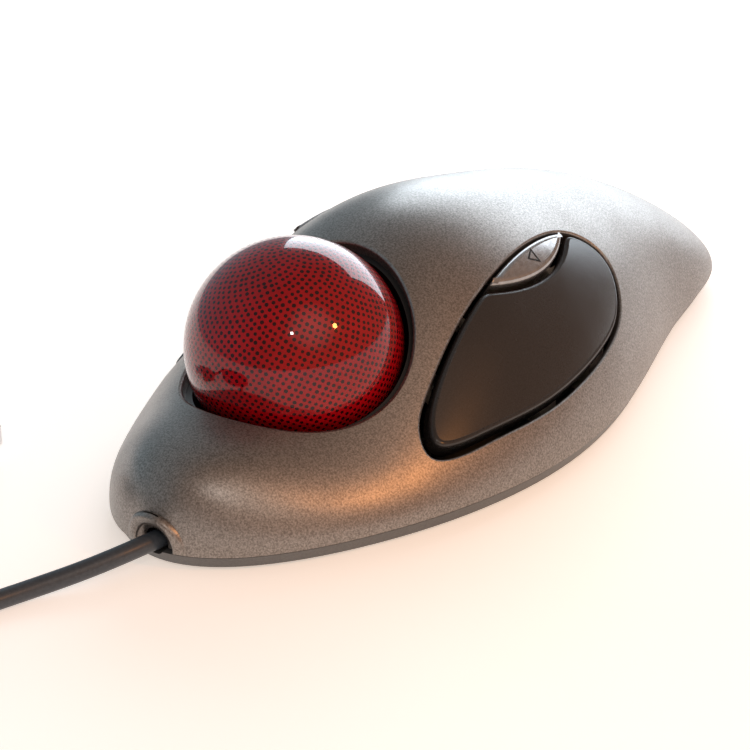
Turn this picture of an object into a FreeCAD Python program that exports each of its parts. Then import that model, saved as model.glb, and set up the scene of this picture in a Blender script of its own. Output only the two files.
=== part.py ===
"""Wired desktop trackball mouse, one STEP file per piece, millimetres.

Frame: +Z up from the desk, +Y towards the tail (the palm), -Y towards the nose (the cable),
+X to the user's left.  The origin is under the middle of the body, on the desk.
The body is symmetric about X = 0, so left pieces are built once and mirrored.
"""
import FreeCAD, Part
import math
import os
from FreeCAD import Vector as V

# ---- driving dimensions of the body -------------------------------------------------------
HALF_LENGTH = 82.5          # the body is 165 long
RIM_Z = 3.5                 # lower edge of the top shell
WALL = 2.2                  # wall of the top shell
# Stations from nose to tail: place along Y, half width, height above the rim, and how much of
# that height the lower side and the shoulder of the section have.
STATION_Y = [-HALF_LENGTH, -HALF_LENGTH, -58, -18, 16, 52, HALF_LENGTH, HALF_LENGTH]
STATION_WIDTH = [0, 13, 32, 43.2, 37, 21, 17, 0]
STATION_HEIGHT = [0, 20.5, 12, 48.8, 38.5, 28.2, 4, 0]
SIDE_SHARE = [0.3, 0.3, 0.24, 0.18, 0.22, 0.26, 0.3, 0.3]
SHOULDER_SHARE = [0.95, 0.95, 0.76, 0.74, 0.83, 0.93, 0.95, 0.95]
SHOULDER_ACROSS = 0.62      # where the shoulder sits between the middle and the side

# ---- ball, its opening and its cup --------------------------------------------------------
BALL_R = 20.0
BALL = V(0, -41.3, 26.5)
OPENING_R = 21.9
OPENING_LEAN = 17.3         # degrees the opening's axis leans towards the nose
CUP_INNER_R = 20.9
CUP_OUTER_R = 23.2
CUP_CLEARANCE = 2.6         # the cup's collar stops this far inside the outer surface
EJECT_R = 8.0               # finger hole under the ball
BEARING_R = 1.25
BEARING_DISTANCE = 21.3     # ball centre to bearing centre
BEARING_DROP = 35           # degrees below the equator
BEARING_TURNS = {"bearing_front": -90, "bearing_left": 35, "bearing_right": 145}
SENSOR_DROP = 15            # degrees the sensor looks up at the ball's centre from

# ---- buttons, in a plane tilted about Y ---------------------------------------------------
# Tilted coordinates are (across, y, out): out is the direction in which a button is pressed
# from, and across points down the flank.
BUTTON_TILT = 35.0
BUTTON_OUTLINE = [(-1.2, 19.5), (-3.9, 8), (-2.1, -8), (2.7, -24), (8.9, -36), (14.2, -41.8),
                  (17.8, -42.3), (20.4, -38.5), (21.8, -31.5), (23.4, -17), (22.4, -4), (19, 10),
                  (12.6, 21), (5.4, 24.2)]
BUTTON_GAPS = [0.4, 0.45, 0.5, 0.8, 1.2, 2.0, 2.2, 1.8, 1.5, 1.3, 1.1, 0.8, 0.45, 0.4]
BUTTON_THICK = 2.0
SMALL_ARC_R = 27.2          # the small button ends on this arc
SMALL_ARC_CENTRE = (-24.6, -1.0)
SMALL_GAP = 1.0
OUT_LOW = 22.0              # the cutting prisms start here, inside the body
OUT_HIGH = 60.0
PIN_R = 1.0
PIN_BORE_R = 1.05
BARREL_R = 1.7
MAIN_PIVOT = (18.0, 27.5)   # y, out
SMALL_PIVOT = (11.5, 32.2)
MAIN_PRESS = (9.5, -22.0)   # across, y of the post over its switch
SMALL_PRESS = (-0.5, -2.0)
BRACKET_OUT = 24.0          # underside of the tilted switch plate
BRACKET_THICK = 1.6
SWITCH = (5.8, 12.8, 6.5)   # across, y, out of a subminiature switch
PLUNGER_PROUD = 1.0
POST_GAP = 0.1

# ---- lower case ---------------------------------------------------------------------------
TRAY_BOTTOM = 0.8
TRAY_FLOOR = 2.8
TRAY_TOP = 3.3
FOOT_TOP = 1.1
FEET = [("foot_front", 0, -67, 24, 7), ("foot_left", 31, -10, 8, 22),
        ("foot_right", -31, -10, 8, 22), ("foot_rear", 0, 66, 20, 7)]
CASE_SCREWS = [(24.5, -54), (-24.5, -54), (16, 50), (-16, 50)]
BOARD_Z = 8.0
BOARD_THICK = 1.2
BOARD_SCREWS = [(16, 4), (-16, 4), (16, 38), (-16, 38)]
CUP_EARS = [(0, -62.3), (18.2, -30.8), (-18.2, -30.8)]
EAR_Z = 6.0

# ---- cable --------------------------------------------------------------------------------
CABLE_R = 1.75
INNER_LEAD_R = 1.5
EXIT_Z = 4.6
GROMMET_FRONT = -79.0
GROMMET_REAR = -72.0
LEAD_ROUTE = [(0, -79, 4.6), (-1, -88, 4.2), (-5.5, -96, 2.6), (-10, -104, 1.85),
              (-14, -113.5, 1.75), (-14.5, -125, 1.75), (-10.5, -136, 1.75), (-9.5, -145, 1.75)]
INNER_ROUTE = [(0, -72, 4.4), (0, -68.5, 4.4), (5, -65, 4.4), (12, -60.5, 4.4), (16, -51, 4.4),
               (15.5, -40, 4.4), (11.5, -30, 4.4), (8.5, -20, 4.4), (8, -6, 4.4)]
TAIL_ROUTE = [(-58.5, -146, 11.6), (-58.8, -136, 10.8), (-59, -127, 7.4), (-59, -118, 4.9),
              (-59, -109, 4.25)]
COIL_CENTRE = V(-34, -141, 0)
COIL_RADII = (12.4, 26.3)
COIL_HEIGHT = 13.4
PLUG_X = -59.0
PLUG_REAR = -109.0
PLUG_Z = 4.25

ORIGIN = V(0, 0, 0)
X_AXIS = V(1, 0, 0)
Y_AXIS = V(0, 1, 0)
Z_AXIS = V(0, 0, 1)
parts = {}


# ---- small tools --------------------------------------------------------------------------
def box(low, high):
    return Part.makeBox(high[0] - low[0], high[1] - low[1], high[2] - low[2], V(*low))


def rod(radius, start, end):
    axis = end - start
    return Part.makeCylinder(radius, axis.Length, start, axis)


def upright(radius, x, y, low, high):
    return Part.makeCylinder(radius, high - low, V(x, y, low))


def slot_block(x, y, length_x, length_y, low, high):
    """Upright block whose shorter ends are rounded almost to half circles."""
    radius = 0.49 * min(length_x, length_y)
    block = box((x - length_x / 2, y - length_y / 2, low), (x + length_x / 2, y + length_y / 2, high))
    corners = [e for e in block.Edges if abs(e.BoundBox.ZLength - (high - low)) < 1e-6]
    return block.makeFillet(radius, corners)


def joined(shapes):
    return shapes[0].multiFuse(shapes[1:]).removeSplitter()


def mirrored(shape):
    return shape.mirror(ORIGIN, X_AXIS)


def tilted(shape):
    """Carry a shape from the tilted button coordinates into the body's frame."""
    turned = shape.copy()
    turned.rotate(ORIGIN, Y_AXIS, BUTTON_TILT)
    return turned


def clamp(value, limit):
    return max(min(value, limit), -limit)


# ---- the body's smooth outer form ---------------------------------------------------------
def dome(inset, drop=0.0):
    """Closed solid under the body's surface, inset on all sides; drop lowers its rim."""
    across = [-1, -1, -SHOULDER_ACROSS, 0, SHOULDER_ACROSS, 1, 1]
    last = len(STATION_Y) - 1
    poles = []
    for k in range(last + 1):
        is_tip = k in (0, last)
        width = 0 if is_tip else STATION_WIDTH[k] - inset
        height = 0 if is_tip else STATION_HEIGHT[k] - inset
        y = clamp(STATION_Y[k], HALF_LENGTH - inset)
        share = [0, SIDE_SHARE[k], SHOULDER_SHARE[k], 1, SHOULDER_SHARE[k], SIDE_SHARE[k], 0]
        row = []
        for j in range(7):
            low = drop if is_tip or j in (0, 6) else 0
            row.append(V(width * across[j], y, RIM_Z + height * share[j] - low))
        poles.append(row)
    surface = Part.BSplineSurface()
    surface.buildFromPolesMultsKnots(poles, [4, 1, 1, 1, 1, 4], [4, 1, 1, 1, 4],
                                     [0, 0.2, 0.4, 0.6, 0.8, 1], [0, 0.25, 0.5, 0.75, 1],
                                     False, False, 3, 3)
    skin = surface.toShape()
    rim = [edge for edge in skin.Edges if edge.Length > 1]
    cap = Part.Face(Part.Wire(Part.__sortEdges__(rim)))
    both = Part.Compound([skin, cap])
    both.sewShape(0.01)
    solid = Part.Solid(both.Shells[0])
    solid.fix(0.01, 0.001, 0.1)
    if solid.Volume < 0:
        solid.reverse()
    return solid


def rim_wire(inset, z):
    """The body's plan outline, inset, at a height."""
    points = []
    for side in (1, -1):
        stations = range(8) if side == 1 else range(6, 0, -1)
        row = []
        for k in stations:
            width = 0 if k in (0, 7) else STATION_WIDTH[k] - inset
            row.append(V(side * width, clamp(STATION_Y[k], HALF_LENGTH - inset), z))
        points.append(row)
    left = points[0]
    right = [left[-1]] + points[1] + [left[0]]
    edges = []
    for row in (left, right):
        curve = Part.BSplineCurve()
        curve.buildFromPolesMultsKnots(row, [4, 1, 1, 1, 1, 4], [0, 0.2, 0.4, 0.6, 0.8, 1],
                                       False, 3)
        edges.append(curve.toShape())
    return Part.Wire(edges)


def opening_axis():
    lean = math.radians(OPENING_LEAN)
    return V(0, -math.sin(lean), math.cos(lean))


# ---- buttons ------------------------------------------------------------------------------
def inset_outline(points, gaps):
    """Move each point of a closed outline inwards by its own gap."""
    moved = []
    count = len(points)
    for i in range(count):
        before = points[i - 1]
        after = points[(i + 1) % count]
        tangent = V(after[0] - before[0], after[1] - before[1], 0).normalize()
        inward = V(-tangent.y, tangent.x, 0)
        moved.append((points[i][0] + inward.x * gaps[i], points[i][1] + inward.y * gaps[i]))
    return moved


def outline_prism(points):
    curve = Part.BSplineCurve()
    curve.interpolate([V(a, b, OUT_LOW) for a, b in points], PeriodicFlag=True)
    return Part.Face(Part.Wire([curve.toShape()])).extrude(V(0, 0, OUT_HIGH - OUT_LOW))


def arc_prism(radius):
    return Part.makeCylinder(radius, OUT_HIGH - OUT_LOW, V(*SMALL_ARC_CENTRE, OUT_LOW))


def pivot_barrel(pivot, low, high, width):
    """Barrel and web that hang from a button, bored for its pin."""
    y, out = pivot
    barrel = rod(BARREL_R, V(low, y, out), V(high, y, out))
    web = box((low, y - width / 2, out), (high, y + width / 2, OUT_HIGH))
    bore = rod(PIN_BORE_R, V(low - 1, y, out), V(high + 1, y, out))
    return barrel.fuse(web).cut(bore)


def make_buttons(outer, inner, core):
    skin = outer.cut(inner)
    prism = outline_prism(inset_outline(BUTTON_OUTLINE, BUTTON_GAPS))
    switch_top = BRACKET_OUT + BRACKET_THICK + SWITCH[2] + PLUNGER_PROUD + POST_GAP

    plate = skin.common(tilted(prism.cut(arc_prism(SMALL_ARC_R + SMALL_GAP))))
    post = Part.makeCylinder(1.6, OUT_HIGH - switch_top, V(*MAIN_PRESS, switch_top))
    barrel = pivot_barrel(MAIN_PIVOT, 3, 9, 3)
    main = joined([plate, core.common(tilted(post)), core.common(tilted(barrel))])

    plate = skin.common(tilted(prism.common(arc_prism(SMALL_ARC_R))))
    post = Part.makeCylinder(1.2, OUT_HIGH - switch_top, V(*SMALL_PRESS, switch_top))
    barrel = pivot_barrel(SMALL_PIVOT, -3, -1, 2.4)
    small = joined([plate, core.common(tilted(post)), core.common(tilted(barrel))])
    return main, small


def pivot_ears(pivot, spans):
    y, out = pivot
    top = out + 1.5 * PIN_R
    ears = []
    for low, high in spans:
        ears.append(box((low, y - 2, BRACKET_OUT), (high, y + 2, top)))
    return ears


def make_bracket():
    """Tilted plate that carries two switches and the pins of both buttons."""
    top = BRACKET_OUT + BRACKET_THICK
    plate = [box((6, -29, BRACKET_OUT), (13, -9, top)), box((-7, -10, BRACKET_OUT), (14.5, 21, top))]
    plate += pivot_ears(MAIN_PIVOT, [(1, 2.6), (9.4, 11)])
    plate += pivot_ears(SMALL_PIVOT, [(-6, -4.4), (0.6, 2.2)])
    pieces = [tilted(piece) for piece in plate]
    above = tilted(box((-60, -60, BRACKET_OUT + 0.5), (60, 60, OUT_HIGH)))
    for y in (-4, 12):
        leg = box((23.5, y, TRAY_FLOOR), (27.5, y + 5, 20))
        pieces.append(leg.cut(above))
    bracket = joined(pieces)
    for pivot, low, high in ((MAIN_PIVOT, 0, 12), (SMALL_PIVOT, -7, 3)):
        hole = rod(PIN_R + 0.02, V(low, *pivot), V(high, *pivot))
        bracket = bracket.cut(tilted(hole))
    return bracket


def make_switch(press, offset):
    """Subminiature switch under a press point, and its plunger."""
    across, y = press
    low = BRACKET_OUT + BRACKET_THICK
    high = low + SWITCH[2]
    middle = y + offset
    body = box((across - SWITCH[0] / 2, middle - SWITCH[1] / 2, low),
               (across + SWITCH[0] / 2, middle + SWITCH[1] / 2, high))
    body = body.makeChamfer(0.4, [e for e in body.Edges if e.BoundBox.ZMin > high - 0.01])
    well = box((across - 0.85, y - 1.55, high - 2.7), (across + 0.85, y + 1.55, high + 1))
    plunger = box((across - 0.75, y - 1.45, high - 1.6), (across + 0.75, y + 1.45, high + PLUNGER_PROUD))
    plunger = plunger.makeFillet(0.35, [e for e in plunger.Edges if e.BoundBox.ZMin > high])
    return tilted(body.cut(well)), tilted(plunger)


def make_pin(pivot, low, high):
    return tilted(rod(PIN_R, V(low, *pivot), V(high, *pivot)))


# ---- casing -------------------------------------------------------------------------------
def make_top_shell(outer, inner, core):
    hood = rod(5.2, V(0, -HALF_LENGTH + 0.1, EXIT_Z), V(0, -HALF_LENGTH + WALL, EXIT_Z))
    hood = hood.cut(box((-10, -90, -5), (10, -60, RIM_Z)))
    hood_edge = [e for e in hood.Edges if e.BoundBox.YMax < -HALF_LENGTH + 0.2]
    hood = hood.makeFillet(1.0, [e for e in hood_edge if e.BoundBox.ZLength > 1])
    pieces = [outer.cut(inner), hood]
    for x, y in CASE_SCREWS:
        pieces.append(upright(3.2, x, y, 5.1, 50).common(core))
    shell = joined(pieces)
    axis = opening_axis()
    shell = shell.cut(rod(OPENING_R, BALL - axis * 10, BALL + axis * 40))
    prism = tilted(outline_prism(BUTTON_OUTLINE))
    shell = shell.cut(prism).cut(mirrored(prism))
    shell = shell.cut(rod(2.6, V(0, -90, EXIT_Z), V(0, GROMMET_FRONT + 2, EXIT_Z)))
    for x, y in CASE_SCREWS:
        shell = shell.cut(upright(1.2, x, y, 4, 9.8))
    return shell


def make_bottom_case():
    tray = Part.makeLoft([rim_wire(1.6, TRAY_BOTTOM), rim_wire(0.2, TRAY_TOP)], True, True)
    tray = tray.cut(Part.makeLoft([rim_wire(2.4, TRAY_FLOOR), rim_wire(2.4, 9)], True, True))
    slab = box((-60, -100, TRAY_FLOOR - 0.5), (60, 100, 5))
    lip = dome(WALL + 0.7, 3).cut(dome(WALL + 1.9, 4)).common(slab)
    pieces = [tray, lip]
    for x, y in CASE_SCREWS:
        pieces.append(upright(4.2, x, y, TRAY_FLOOR - 0.5, 4.9))
    for x, y in BOARD_SCREWS:
        pieces.append(upright(2.8, x, y, TRAY_FLOOR - 0.5, BOARD_Z))
    for x, y in CUP_EARS:
        pieces.append(upright(3.0, x, y, TRAY_FLOOR - 0.5, EAR_Z))
    case = joined(pieces)
    for x, y in CASE_SCREWS:
        case = case.cut(upright(1.5, x, y, 0, 10)).cut(upright(3.2, x, y, 0, 2.6))
    for x, y in BOARD_SCREWS:
        case = case.cut(upright(0.9, x, y, 3.4, 10))
    for x, y in CUP_EARS:
        case = case.cut(upright(0.9, x, y, 3.4, 10))
    case = case.cut(upright(EJECT_R, BALL.x, BALL.y, 0, 10))
    case = case.cut(rod(2.3, V(0, -90, EXIT_Z), V(0, GROMMET_FRONT + 1, EXIT_Z)))
    for name, x, y, length_x, length_y in FEET:
        case = case.cut(slot_block(x, y, length_x + 0.2, length_y + 0.2, 0, FOOT_TOP))
    return case.cut(box((-20.1, 3.9, 0), (20.1, 28.1, 1.1)))


# ---- ball cup, bearings and sensor --------------------------------------------------------
def direction(turn, drop):
    """Unit vector from the ball's centre; turn from +X about Z, drop below the level."""
    turn = math.radians(turn)
    drop = math.radians(drop)
    return V(math.cos(drop) * math.cos(turn), math.cos(drop) * math.sin(turn), -math.sin(drop))


def sensor_axis():
    return direction(90, SENSOR_DROP)


def beside_sensor(x, distance):
    return BALL + V(x, 0, 0) + sensor_axis() * distance


def make_cup():
    axis = opening_axis()
    collar = rod(CUP_OUTER_R, BALL, BALL + axis * 16)
    bowl = Part.makeSphere(CUP_OUTER_R, BALL).fuse(collar)
    seat = upright(12.5, BALL.x, BALL.y, TRAY_FLOOR, 9)
    pieces = [bowl, seat]
    for x, y in CUP_EARS:
        ear = upright(3.2, x, y, EAR_Z, EAR_Z + 2)
        inward = V(BALL.x - x, BALL.y - y, 0).normalize()
        arm = Part.makeBox(9, 4, 2, V(x, y, EAR_Z))
        arm.translate(V(0, -2, 0))
        arm.rotate(V(x, y, 0), Z_AXIS, math.degrees(math.atan2(inward.y, inward.x)))
        pieces += [ear, arm]
    for x in (-9, 9):
        pieces.append(rod(1.6, beside_sensor(x, 19), beside_sensor(x, 26.5)))
    cup = joined(pieces)
    cup = cup.common(dome(CUP_CLEARANCE, 4))
    hollow = Part.makeSphere(CUP_INNER_R, BALL).fuse(rod(CUP_INNER_R, BALL, BALL + axis * 40))
    cup = cup.cut(hollow).cut(upright(EJECT_R, BALL.x, BALL.y, 0, 12))
    for turn in BEARING_TURNS.values():
        out = direction(turn, BEARING_DROP)
        cup = cup.cut(rod(BEARING_R + 0.05, BALL + out * 19, BALL + out * 22.6))
    cup = cup.cut(rod(3.0, beside_sensor(0, 19), beside_sensor(0, 25)))
    for x in (-5.5, 5.5):
        cup = cup.cut(rod(1.6, beside_sensor(x, 18), beside_sensor(x, 25)))
    for x in (-9, 9):
        cup = cup.cut(rod(0.8, beside_sensor(x, 23), beside_sensor(x, 28)))
    for x, y in CUP_EARS:
        cup = cup.cut(upright(1.3, x, y, 4, 10))
    return cup


def make_sensor():
    parts["sensor_window"] = rod(2.9, beside_sensor(0, 21.2), beside_sensor(0, 23.2))
    leds = [rod(1.5, beside_sensor(x, 20.7), beside_sensor(x, 26.4)) for x in (-5.5, 5.5)]
    parts["infrared_leds"] = Part.Compound(leds)
    chip = Part.makeBox(7, 7, 3.1, V(-3.5, -3.5, 23.4))
    board = Part.makeBox(23, 12, 1.2, V(-11.5, -6, 26.6))
    for x in (-9, 9):
        board = board.cut(rod(1.1, V(x, 0, 26), V(x, 0, 29)))
    screws = Part.Compound([screw(x, 0, 27.9, 3.9, 0.7, 1.6, True) for x in (-9, 9)])
    for name, shape in (("sensor_chip", chip), ("sensor_board", board), ("sensor_screws", screws)):
        shape.rotate(ORIGIN, X_AXIS, -90 - SENSOR_DROP)
        shape.translate(BALL)
        parts[name] = shape


# ---- boards and fasteners -----------------------------------------------------------------
def screw(x, y, z, length, radius, head_radius, head_up):
    """Pan-head screw with a cross slot; z is the plane under its head."""
    way = 1 if head_up else -1
    head = rod(head_radius, V(x, y, z), V(x, y, z + way * 1.1))
    shank = rod(radius, V(x, y, z), V(x, y, z - way * length))
    low = z + way * 0.5
    slots = [box((x - 1.0, y - 0.2, min(low, low + way)), (x + 1.0, y + 0.2, max(low, low + way))),
             box((x - 0.2, y - 1.0, min(low, low + way)), (x + 0.2, y + 1.0, max(low, low + way)))]
    return head.fuse(shank).cut(slots[0]).cut(slots[1])


def make_boards():
    top = BOARD_Z + BOARD_THICK
    board = board_plate()
    parts["main_board"] = board
    chip = box((-5, 12, top), (5, 20, top + 1.8))
    parts["controller_chip"] = chip.makeChamfer(0.3, [e for e in chip.Edges if e.BoundBox.ZMin > top + 1])
    parts["clock_crystal"] = slot_block(-11, 16, 4.4, 11, top, top + 3.4)
    caps = [upright(2.5, x, 30, top, top + 6) for x in (-4, 4)]
    parts["capacitors"] = Part.Compound(caps)
    resistors = [box((x - 0.6, 24, top), (x + 0.6, 26.4, top + 0.6)) for x in (-9, -6, 6, 9, 12)]
    parts["board_resistors"] = Part.Compound(resistors)
    parts["cable_connector"] = box((3, -6, TRAY_FLOOR + 0.1), (13, 0, BOARD_Z))
    screws = [screw(x, y, top, 4.6, 0.8, 1.9, True) for x, y in BOARD_SCREWS]
    parts["board_screws"] = Part.Compound(screws)
    screws = [screw(x, y, EAR_Z + 2, 4.2, 0.8, 2.4, True) for x, y in CUP_EARS]
    parts["cup_screws"] = Part.Compound(screws)
    screws = [screw(x, y, 2.6, 6.5, 1.15, 2.8, False) for x, y in CASE_SCREWS]
    parts["case_screws"] = Part.Compound(screws)


def board_plate():
    board = box((-20, -6, BOARD_Z), (20, 44, BOARD_Z + BOARD_THICK))
    corners = [e for e in board.Edges if e.BoundBox.ZLength > 1]
    board = board.makeFillet(2.0, corners)
    for x, y in BOARD_SCREWS:
        board = board.cut(upright(1.2, x, y, 0, 20))
    return board


# ---- cable --------------------------------------------------------------------------------
def tube(name, route, radius):
    """Straight runs joined by tangent arcs, as large as the shorter run beside each allows."""
    points = [V(*p) for p in route]
    edges = []
    start = points[0]
    radii = []
    for i in range(1, len(points) - 1):
        before = points[i] - points[i - 1]
        after = points[i + 1] - points[i]
        turn = before.getAngle(after)
        setback = 0.45 * min(before.Length, after.Length)
        radii.append(round(setback / math.tan(turn / 2), 1))
        first = points[i] - before.normalize() * setback
        last = points[i] + after.normalize() * setback
        inward = (last - points[i]) + (first - points[i])
        bend = setback / math.tan(turn / 2)
        reach = math.sqrt(bend ** 2 + setback ** 2) - bend
        middle = points[i] + inward.normalize() * reach
        edges.append(Part.LineSegment(start, first).toShape())
        edges.append(Part.Arc(first, middle, last).toShape())
        start = last
    edges.append(Part.LineSegment(start, points[-1]).toShape())
    path = Part.Wire(edges)
    section = Part.Wire([Part.Circle(points[0], points[1] - points[0], radius).toShape()])
    solid = path.makePipeShell([section], True, False)
    expected = math.pi * radius ** 2 * path.Length
    print(name, "length", round(path.Length, 1), "radii", radii,
          "volume ratio", round(solid.Volume / expected, 4))
    return solid


def make_cable():
    core = dome(WALL + 2.1, 4)
    grommet = box((-5, GROMMET_FRONT, TRAY_FLOOR), (5, GROMMET_REAR, 8.5)).common(core)
    parts["cable_grommet"] = grommet
    parts["inner_lead"] = tube("inner_lead", INNER_ROUTE, INNER_LEAD_R)
    parts["cable_lead"] = tube("cable_lead", LEAD_ROUTE, CABLE_R)
    parts["cable_tail"] = tube("cable_tail", TAIL_ROUTE, CABLE_R)
    low, high = COIL_RADII
    ring = Part.makeCylinder(high, COIL_HEIGHT, COIL_CENTRE)
    ring = ring.cut(Part.makeCylinder(low, COIL_HEIGHT, COIL_CENTRE))
    parts["cable_coil"] = ring.makeFillet(2.5, [e for e in ring.Edges if len(e.Vertexes) == 1])
    make_plug()


def make_plug():
    """Type-A plug lying flat: taper, moulded grip, metal shell, tongue and contacts."""
    neck = PLUG_REAR + 8
    front = neck + 24
    tip = front + 12
    taper = Part.makeCone(2.6, 3.9, neck - PLUG_REAR, V(PLUG_X, PLUG_REAR, PLUG_Z), Y_AXIS)
    grip = box((PLUG_X - 8, neck, 0), (PLUG_X + 8, front, 2 * PLUG_Z))
    grip = grip.makeFillet(2.0, [e for e in grip.Edges if e.BoundBox.YLength > 20])
    grip = grip.makeFillet(1.0, [e for e in grip.Edges if e.BoundBox.YLength < 1e-6])
    parts["plug_grip"] = grip.fuse(taper).removeSplitter()
    shell = box((PLUG_X - 6, front, PLUG_Z - 2.25), (PLUG_X + 6, tip, PLUG_Z + 2.25))
    shell = shell.makeFillet(0.6, [e for e in shell.Edges if e.BoundBox.YLength > 10])
    hollow = box((PLUG_X - 5.7, front, PLUG_Z - 1.95), (PLUG_X + 5.7, tip + 1, PLUG_Z + 1.95))
    shell = shell.cut(hollow)
    for x in (-3, 3):
        shell = shell.cut(box((PLUG_X + x - 1.1, front + 4, PLUG_Z), (PLUG_X + x + 1.1, front + 6.4, 9)))
    parts["plug_shell"] = shell
    tongue_top = PLUG_Z - 1.95 + 1.85
    parts["plug_tongue"] = box((PLUG_X - 5.6, front, PLUG_Z - 1.9), (PLUG_X + 5.6, tip - 0.6, tongue_top))
    contacts = []
    for x in (-3.5, -1, 1, 3.5):
        low = (PLUG_X + x - 0.5, front + 2, tongue_top)
        high = (PLUG_X + x + 0.5, tip - 1.6, tongue_top + 0.12)
        contacts.append(box(low, high))
    parts["plug_contacts"] = Part.Compound(contacts)


# ---- assembly -----------------------------------------------------------------------------
def build():
    outer = dome(0)
    inner = dome(WALL, 1)
    core = dome(1.0)
    parts["top_shell"] = make_top_shell(outer, inner, core)
    parts["bottom_case"] = make_bottom_case()
    parts["trackball"] = Part.makeSphere(BALL_R, BALL)
    parts["ball_cup"] = make_cup()
    for name, turn in BEARING_TURNS.items():
        out = direction(turn, BEARING_DROP)
        parts[name] = Part.makeSphere(BEARING_R, BALL + out * BEARING_DISTANCE)
    make_sensor()
    make_boards()
    left = {}
    left["button"], left["small_button"] = make_buttons(outer, dome(BUTTON_THICK, 1), core)
    left["switch_bracket"] = make_bracket()
    left["button_pin"] = make_pin(MAIN_PIVOT, 1, 11)
    left["small_button_pin"] = make_pin(SMALL_PIVOT, -6, 2.2)
    left["switch"], left["plunger"] = make_switch(MAIN_PRESS, 1)
    left["small_switch"], left["small_plunger"] = make_switch(SMALL_PRESS, 1)
    for name, shape in left.items():
        parts["left_" + name] = shape
        parts["right_" + name] = mirrored(shape)
    for name, x, y, length_x, length_y in FEET:
        parts[name] = slot_block(x, y, length_x, length_y, 0, FOOT_TOP)
    parts["rating_label"] = box((-20, 4, 0.85), (20, 28, 1.0))
    make_cable()


build()
os.makedirs("parts", exist_ok=True)
for node, shape in sorted(parts.items()):
    solids = shape.Solids
    print(node, len(solids), shape.isValid(), round(sum(s.Volume for s in solids), 1))
    shape.exportStep("parts/" + node + ".step")
print(len(parts), "nodes")
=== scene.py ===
"""Wired desktop trackball mouse: the visible surfaces, built in metres round the fixed frame.

Frame: +Z up, -Y towards the cable, +X to the user's left.  Sizes of the part are millimetres and
are turned into metres when a mesh or curve is made; camera, lights and floor are in metres.
"""
import bpy
import math
import numpy as np
from mathutils import Matrix, Vector
from mathutils.geometry import delaunay_2d_cdt


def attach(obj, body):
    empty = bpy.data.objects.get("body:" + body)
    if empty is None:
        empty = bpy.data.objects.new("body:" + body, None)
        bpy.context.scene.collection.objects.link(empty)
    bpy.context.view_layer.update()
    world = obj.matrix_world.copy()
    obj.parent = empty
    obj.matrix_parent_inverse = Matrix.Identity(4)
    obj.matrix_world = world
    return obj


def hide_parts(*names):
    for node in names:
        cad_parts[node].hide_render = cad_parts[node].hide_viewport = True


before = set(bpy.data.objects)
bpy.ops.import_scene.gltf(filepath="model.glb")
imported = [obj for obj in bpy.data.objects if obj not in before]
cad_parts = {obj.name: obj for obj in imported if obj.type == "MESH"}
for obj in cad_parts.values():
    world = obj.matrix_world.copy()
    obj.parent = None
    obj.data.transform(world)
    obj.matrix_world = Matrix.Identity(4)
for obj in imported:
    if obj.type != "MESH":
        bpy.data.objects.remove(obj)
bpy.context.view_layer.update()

MM = 0.001

# ---- driving sizes of the body, the same as the design's -----------------------------------
HALF_LENGTH = 82.5
RIM_Z = 3.5                 # lower edge of the skin
# Stations from nose to tail, and how much of a station's height the side and the shoulder have.
STATION_Y = [-HALF_LENGTH, -HALF_LENGTH, -58, -18, 16, 52, HALF_LENGTH, HALF_LENGTH]
STATION_WIDTH = [0, 13, 32, 43.2, 37, 21, 17, 0]
STATION_HEIGHT = [0, 20.5, 12, 48.8, 38.5, 28.2, 4, 0]
SIDE_SHARE = [0.3, 0.3, 0.24, 0.18, 0.22, 0.26, 0.3, 0.3]
SHOULDER_SHARE = [0.95, 0.95, 0.76, 0.74, 0.83, 0.93, 0.95, 0.95]
SHOULDER_ACROSS = 0.62
BALL = np.array([0, -41.3, 26.5])
BALL_R = 20.0
OPENING_R = 21.9
OPENING_LEAN = 17.3         # degrees the opening's axis leans towards the nose
BUTTON_TILT = 35.0          # degrees the buttons' plane tilts about Y
BUTTON_OUTLINE = [(-1.2, 19.5), (-3.9, 8), (-2.1, -8), (2.7, -24), (8.9, -36), (14.2, -41.8),
                  (17.8, -42.3), (20.4, -38.5), (21.8, -31.5), (23.4, -17), (22.4, -4), (19, 10),
                  (12.6, 21), (5.4, 24.2)]
BUTTON_GAPS = [0.4, 0.45, 0.5, 0.8, 1.2, 2.0, 2.2, 1.8, 1.5, 1.3, 1.1, 0.8, 0.45, 0.4]
SMALL_ARC_R = 27.2          # the small button ends on this arc
SMALL_ARC_CENTRE = (-24.6, -1.0)
SMALL_GAP = 1.0
CABLE_R = 1.75
EXIT_Z = 4.6

# ---- camera ---------------------------------------------------------------------------------
CAMERA_TURN = 38.84
CAMERA_RISE = 25.11
CAMERA_ROLL = -2.64
CAMERA_DISTANCE = 0.5956
CAMERA_TARGET = Vector((0.0045, -0.0241, 0.015))
CAMERA_LENS = 154.66
SENSOR_WIDTH = 36


def make_camera():
    turn = math.radians(CAMERA_TURN)
    rise = math.radians(CAMERA_RISE)
    roll = math.radians(CAMERA_ROLL)
    back = Vector((math.sin(turn), -math.cos(turn), 0)) * math.cos(rise)
    back.z = math.sin(rise)
    level = Vector((math.cos(turn), math.sin(turn), 0))
    above = back.cross(level)
    right = level * math.cos(roll) + above * math.sin(roll)
    up = above * math.cos(roll) - level * math.sin(roll)
    data = bpy.data.cameras.new("camera")
    data.lens = CAMERA_LENS
    data.sensor_width = SENSOR_WIDTH
    data.clip_start = 0.01
    data.clip_end = 20
    camera = bpy.data.objects.new("camera", data)
    turned = Matrix((right, up, back)).transposed().to_4x4()
    turned.translation = CAMERA_TARGET + back * CAMERA_DISTANCE
    camera.matrix_world = turned
    bpy.context.scene.collection.objects.link(camera)
    bpy.context.scene.camera = camera


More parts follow.
